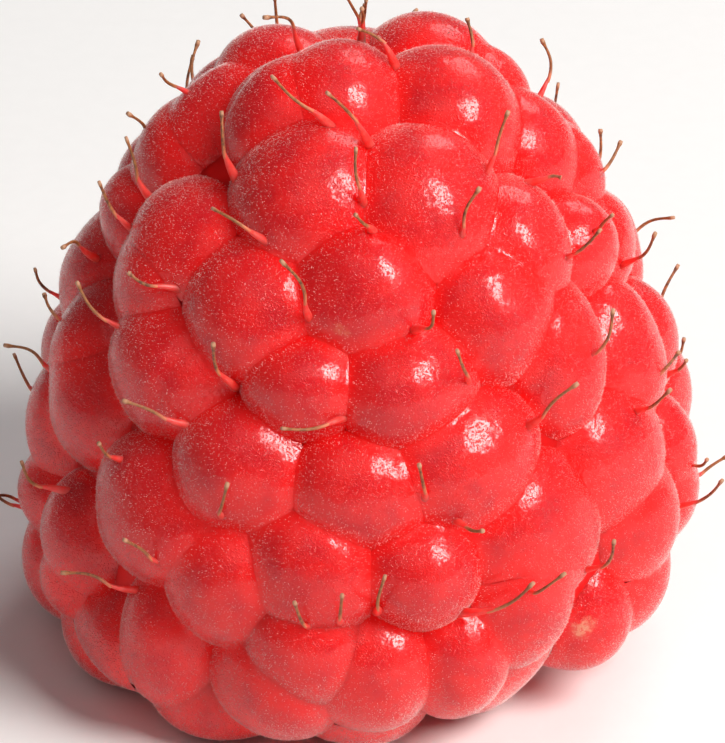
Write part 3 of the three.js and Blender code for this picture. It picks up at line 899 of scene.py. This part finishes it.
def skinFinish():
    finish = Finish("drupelet_skin")
    seam, tone = finish.attribute("seam"), finish.attribute("tone")
    away = finish.ramp(seam, 0.02, 0.75)  # millimetres from the seam
    clouds = finish.ramp(finish.noise(1.3, detail=3), 0.35, 0.7)
    red = finish.blend(clouds, skin["crownRed"], skin["deepRed"])
    red = finish.blend(0.35 * tone, red, skin["deepRed"])
    # painted glow: the red turns brighter and more saturated towards the seams, where light glows through
    # the flesh
    red = finish.blend(away, skin["paintedSeamGlow"], red)
    dust = finish.ramp(finish.noise(0.045, detail=1), 0.58, 0.72)
    color = finish.blend(dust * (0.04 + 0.12 * away), red, skin["haze"])
    scuffs = 0.35 + 0.65 * finish.ramp(finish.noise(0.14), 0.4, 0.6)
    for middle, radius, tint, strength in marks:
        color = finish.blend(strength * scuffs * finish.spot(middle, radius), color, skin[tint])
    blisters = finish.ramp(finish.noise(0.07, detail=1), 0.5, 0.72)
    relief = finish.bump(blisters + 3 * finish.noise(0.5), 0.9, 0.016)
    return finish.shaded(
        Base_Color=color,
        Roughness=skin["roughness"],
        Normal=relief,
        Subsurface_Weight=1.0,
        Subsurface_Radius=(1.0, 0.1, 0.07),
        Subsurface_Scale=skin["scatter"] * mm,
        IOR=1.45,
        Specular_IOR_Level=0.6,
        Sheen_Weight=skin["sheen"],
        Sheen_Roughness=0.22,
        Sheen_Tint=(1.0, 0.76, 0.74, 1),
    )


def wallFinish():
    finish = Finish("wall_flesh")
    pale, rosy = (0.82, 0.36, 0.33), (0.72, 0.2, 0.2)
    flesh = finish.blend(finish.ramp(finish.noise(0.7, detail=3), 0.3, 0.7), pale, rosy)
    # outside the hollow, at the bottom of the seams, the wall has the seams' painted glow red
    color = finish.blend(finish.attribute("hollow"), skin["paintedSeamGlow"], flesh)
    return finish.shaded(
        Base_Color=color,
        Roughness=0.5,
        Specular_IOR_Level=0.12,
        Normal=finish.bump(finish.noise(0.15), 0.3, 0.03),
        Subsurface_Weight=0.8,
        Subsurface_Radius=(1.0, 0.2, 0.12),
        Subsurface_Scale=1.2 * mm,
    )


def rootFinish():
    finish = Finish("style_root_flesh")
    grain = finish.noise(0.2)
    red, pink = (0.9, 0.035, 0.03), (0.88, 0.09, 0.075)
    color = finish.blend(finish.ramp(grain, 0.3, 0.7), red, pink)
    return finish.shaded(
        Base_Color=color,
        Roughness=0.38,
        Normal=finish.bump(grain, 0.2, 0.02),
        Subsurface_Weight=0.9,
        Subsurface_Radius=(1.0, 0.22, 0.14),
        Subsurface_Scale=0.8 * mm,
    )


def threadFinish():
    finish = Finish("dry_style")
    along, tone = finish.attribute("along"), finish.attribute("tone")
    grain = finish.noise(0.12, detail=3)
    tan, brown, straw = (0.42, 0.15, 0.05), (0.13, 0.038, 0.013), (0.34, 0.13, 0.04)
    fleshEnd, knob = (0.72, 0.2, 0.1), (0.5, 0.26, 0.15)
    color = finish.blend(finish.ramp(grain, 0.35, 0.65), tan, brown)
    color = finish.blend(finish.ramp(tone, 0.2, 0.9) * 0.6, color, straw)
    color = finish.blend(finish.ramp(along, 0.35, 0.0), color, fleshEnd)
    color = finish.blend(finish.ramp(along, 0.88, 0.95), color, knob)
    return finish.shaded(
        Base_Color=color,
        Roughness=0.55,
        Normal=finish.bump(grain, 0.4, 0.01),
        Subsurface_Weight=0.25,
        Subsurface_Radius=(1.0, 0.45, 0.2),
        Subsurface_Scale=0.1 * mm,
    )


def downFinish():
    finish = Finish("pale_down")
    pink, cream = (0.93, 0.62, 0.56), (0.96, 0.8, 0.75)
    color = finish.blend(finish.noise(0.5), pink, cream)
    return finish.shaded(Base_Color=color, Roughness=0.5, Sheen_Weight=0.3)


finishes = {
    "skin": skinFinish(),
    "wall": wallFinish(),
    "root": rootFinish(),
    "thread": threadFinish(),
    "down": downFinish(),
}
print("finishes mixed")


def joinedPatches(which):
    # the skin of several drupelets as one mesh, so that light passes on below their seams
    points = np.vstack([patches[i][0] for i in which])
    seam = np.concatenate([patches[i][1] for i in which])
    tone = np.repeat(patchTones[which], len(patches[0][0]))
    return points, patchFaces(len(which)), {"seam": seam, "tone": tone}


halves = {
    "drupelets_front": np.arange(len(frontDrupelets)),
    "drupelets_back": np.arange(len(frontDrupelets), count),
}
for name, which in halves.items():
    points, faces, attributes = joinedPatches(which)
    meshPiece(name, points, faces, finishes["skin"], attributes)

meshPiece("wall", wallPoints, wallFaces, finishes["wall"], {"hollow": wallHollowness})

rootPoints, rootFaces = tubes(roots, rootRadii, style["sides"])
meshPiece("style_roots", rootPoints, rootFaces, finishes["root"])

threadPoints, threadFaces = tubes(threads, threadRadii, style["sides"])
ringShares = np.linspace(0, 1, style["threadStations"])
stations = np.concatenate([[0], np.repeat(ringShares, style["sides"]), [1]])
threadTones = np.random.default_rng(style["bendSeed"]).uniform(0, 1, len(threads))
threadAttributes = {
    "along": np.tile(stations, len(threads)),
    "tone": np.repeat(threadTones, len(stations)),
}
meshPiece("style_threads", threadPoints, threadFaces, finishes["thread"], threadAttributes)
print("drupelets, wall and styles made")

# Down: short pale hairs all over the open skin, each a thin three-sided spike.
down = {
    "count": 130000,
    "shortest": 0.03,
    "longest": 0.085,
    "shortened": 0.6,  # some hairs are down to this share of that
    "thickness": 0.007,
    "thinnest": 0.5,  # as shares of the thickness
    "thickest": 1.7,
    "tilt": 0.132,
    "rooted": 0.02,  # how deep a hair's foot is in the skin
    "bareSeam": 0.03,  # no hairs nearer to a seam
    "lowestFoot": 0.004,
    "lowestTip": 0.02,  # hairs that would end lower are left out
    "seed": 21,
    "pieces": 3,
}


def openFaces():
    # the corners of the skin's triangles, the ways out of them, and their areas clear of the seams
    corners, normals, areas = [], [], []
    faces = patchFaces(1)
    triangles = np.vstack([faces.fans, faces.quads[:, [0, 1, 2]], faces.quads[:, [0, 2, 3]]])
    for points, seam in patches:
        a, b, c = (points[triangles[:, corner]] for corner in range(3))
        cross = np.cross(b - a, c - a)
        area = np.linalg.norm(cross, axis=1)
        corners.append(np.stack([a, b, c], 1))
        normals.append(cross / np.maximum(area, 1e-12)[:, None])
        areas.append(area * (seam[triangles].min(1) > down["bareSeam"]))
    return np.vstack(corners), np.vstack(normals), np.concatenate(areas)


def downHairs(draw, hairs):
    # hairs sown evenly over the open skin: three corners round each foot, and a tip
    corners, normals, areas = openFaces()
    chosen = draw.choice(len(areas), hairs, p=areas / areas.sum())
    shares = draw.uniform(size=(hairs, 2))
    over = shares.sum(1) > 1
    shares[over] = 1 - shares[over]
    a, b, c = (corners[chosen, corner] for corner in range(3))
    foot = a + (b - a) * shares[:, :1] + (c - a) * shares[:, 1:]
    way = unit(normals[chosen] + draw.normal(size=(hairs, 3)) * down["tilt"])
    length = draw.uniform(down["shortest"], down["longest"], hairs)
    length *= draw.uniform(down["shortened"], 1, hairs)
    girth = down["thickness"] * draw.uniform(down["thinnest"], down["thickest"], (hairs, 1))
    side = unit(np.cross(way, draw.normal(size=(hairs, 3))))
    across = np.cross(way, side)
    points = np.zeros((hairs, 4, 3))
    for corner in range(3):
        turn = corner * 2 * math.pi / 3
        ring = math.cos(turn) * side + math.sin(turn) * across
        points[:, corner] = foot - down["rooted"] * way + ring * girth
    points[:, 3] = foot + way * length[:, None]
    points[..., 2] = np.maximum(points[..., 2], down["lowestFoot"])
    return points


spike = np.array([[0, 1, 3], [1, 2, 3], [2, 0, 3]])
hairs = downHairs(np.random.default_rng(down["seed"]), down["count"])
for piece in range(down["pieces"]):
    part = hairs[piece :: down["pieces"]]
    part = part[part[:, 3, 2] > down["lowestTip"]]
    faces = (spike + 4 * np.arange(len(part))[:, None, None]).reshape(-1, 3)
    meshPiece("down_%d" % (piece + 1), part.reshape(-1, 3), faces, finishes["down"], smooth=False)
print("down sown:", len(hairs), "hairs")


# The studio, with its lengths in metres.
studio = {
    "floorSize": 1.2,
    "floor": (0.94, 0.935, 0.93),
    "floorShade": 0.97,
    "surround": (1.0, 0.99, 0.98),
    "surroundStrength": 0.12,
    "lampAim": (0, 0, 0.011),
}
lamps = {
    "key": {
        "azimuth": 54,
        "elevation": 44,
        "distance": 0.3,
        "size": 0.155,
        "power": 1.1,
        "color": (1, 0.97, 0.94),
    },
    "fill": {
        "azimuth": -20,
        "elevation": 50,
        "distance": 0.4,
        "size": 0.3,
        "power": 0.12,
        "color": (1, 0.98, 0.97),
    },
    "back": {
        "azimuth": 150,
        "elevation": 45,
        "distance": 0.35,
        "size": 0.2,
        "power": 0.35,
        "color": (1, 1, 1),
    },
}
viewpoint = {
    "azimuth": 0,
    "elevation": 30,
    "distance": 0.2,
    "aim": (0.00005, 0, 0.0097),
    "lens": 283.9,  # this and the sensor in millimetres
    "sensor": 36,
    "clip": (0.01, 10),
}


def placeAround(thing, name, azimuth, elevation, distance, aim):
    # a lamp or the camera, looking at its aim from a direction and distance
    turn, lift = math.radians(azimuth), math.radians(elevation)
    away = Vector((math.sin(turn) * math.cos(lift), -math.cos(turn) * math.cos(lift), math.sin(lift)))
    holder = bpy.data.objects.new(name, thing)
    holder.location = Vector(aim) + away * distance
    holder.rotation_euler = away.to_track_quat("Z", "Y").to_euler()
    bpy.context.scene.collection.objects.link(holder)
    return holder


def studioFloor():
    finish = Finish("floor_paper")
    shade = tuple(studio["floorShade"] * part for part in studio["floor"])
    color = finish.blend(finish.noise(0.8), studio["floor"], shade)
    half = studio["floorSize"] / 2
    corners = [(-half, -half, 0), (half, -half, 0), (half, half, 0), (-half, half, 0)]
    mesh = bpy.data.meshes.new("floor")
    mesh.from_pydata(corners, [], [(0, 1, 2, 3)])
    mesh.materials.append(finish.shaded(Base_Color=color, Roughness=0.8))
    floor = bpy.data.objects.new("floor", mesh)
    bpy.context.scene.collection.objects.link(floor)


def studioLamp(name, azimuth, elevation, distance, size, power, color):
    light = bpy.data.lights.new(name, "AREA")
    light.shape, light.size, light.energy, light.color = "DISK", size, power, color
    placeAround(light, name, azimuth, elevation, distance, studio["lampAim"])


def studioSurround():
    surround = bpy.data.worlds.new("studio")
    surround.use_nodes = True
    background = surround.node_tree.nodes["Background"]
    background.inputs["Color"].default_value = (*studio["surround"], 1)
    background.inputs["Strength"].default_value = studio["surroundStrength"]
    bpy.context.scene.world = surround
    bpy.context.scene.view_settings.view_transform = "Standard"


def studioCamera(azimuth, elevation, distance, aim, lens, sensor, clip):
    camera = bpy.data.cameras.new("camera")
    camera.lens, camera.sensor_width = lens, sensor
    camera.clip_start, camera.clip_end = clip
    bpy.context.scene.camera = placeAround(camera, "camera", azimuth, elevation, distance, aim)


studioFloor()
for name, settings in lamps.items():
    studioLamp(name, **settings)
studioSurround()
studioCamera(**viewpoint)
print("studio set")
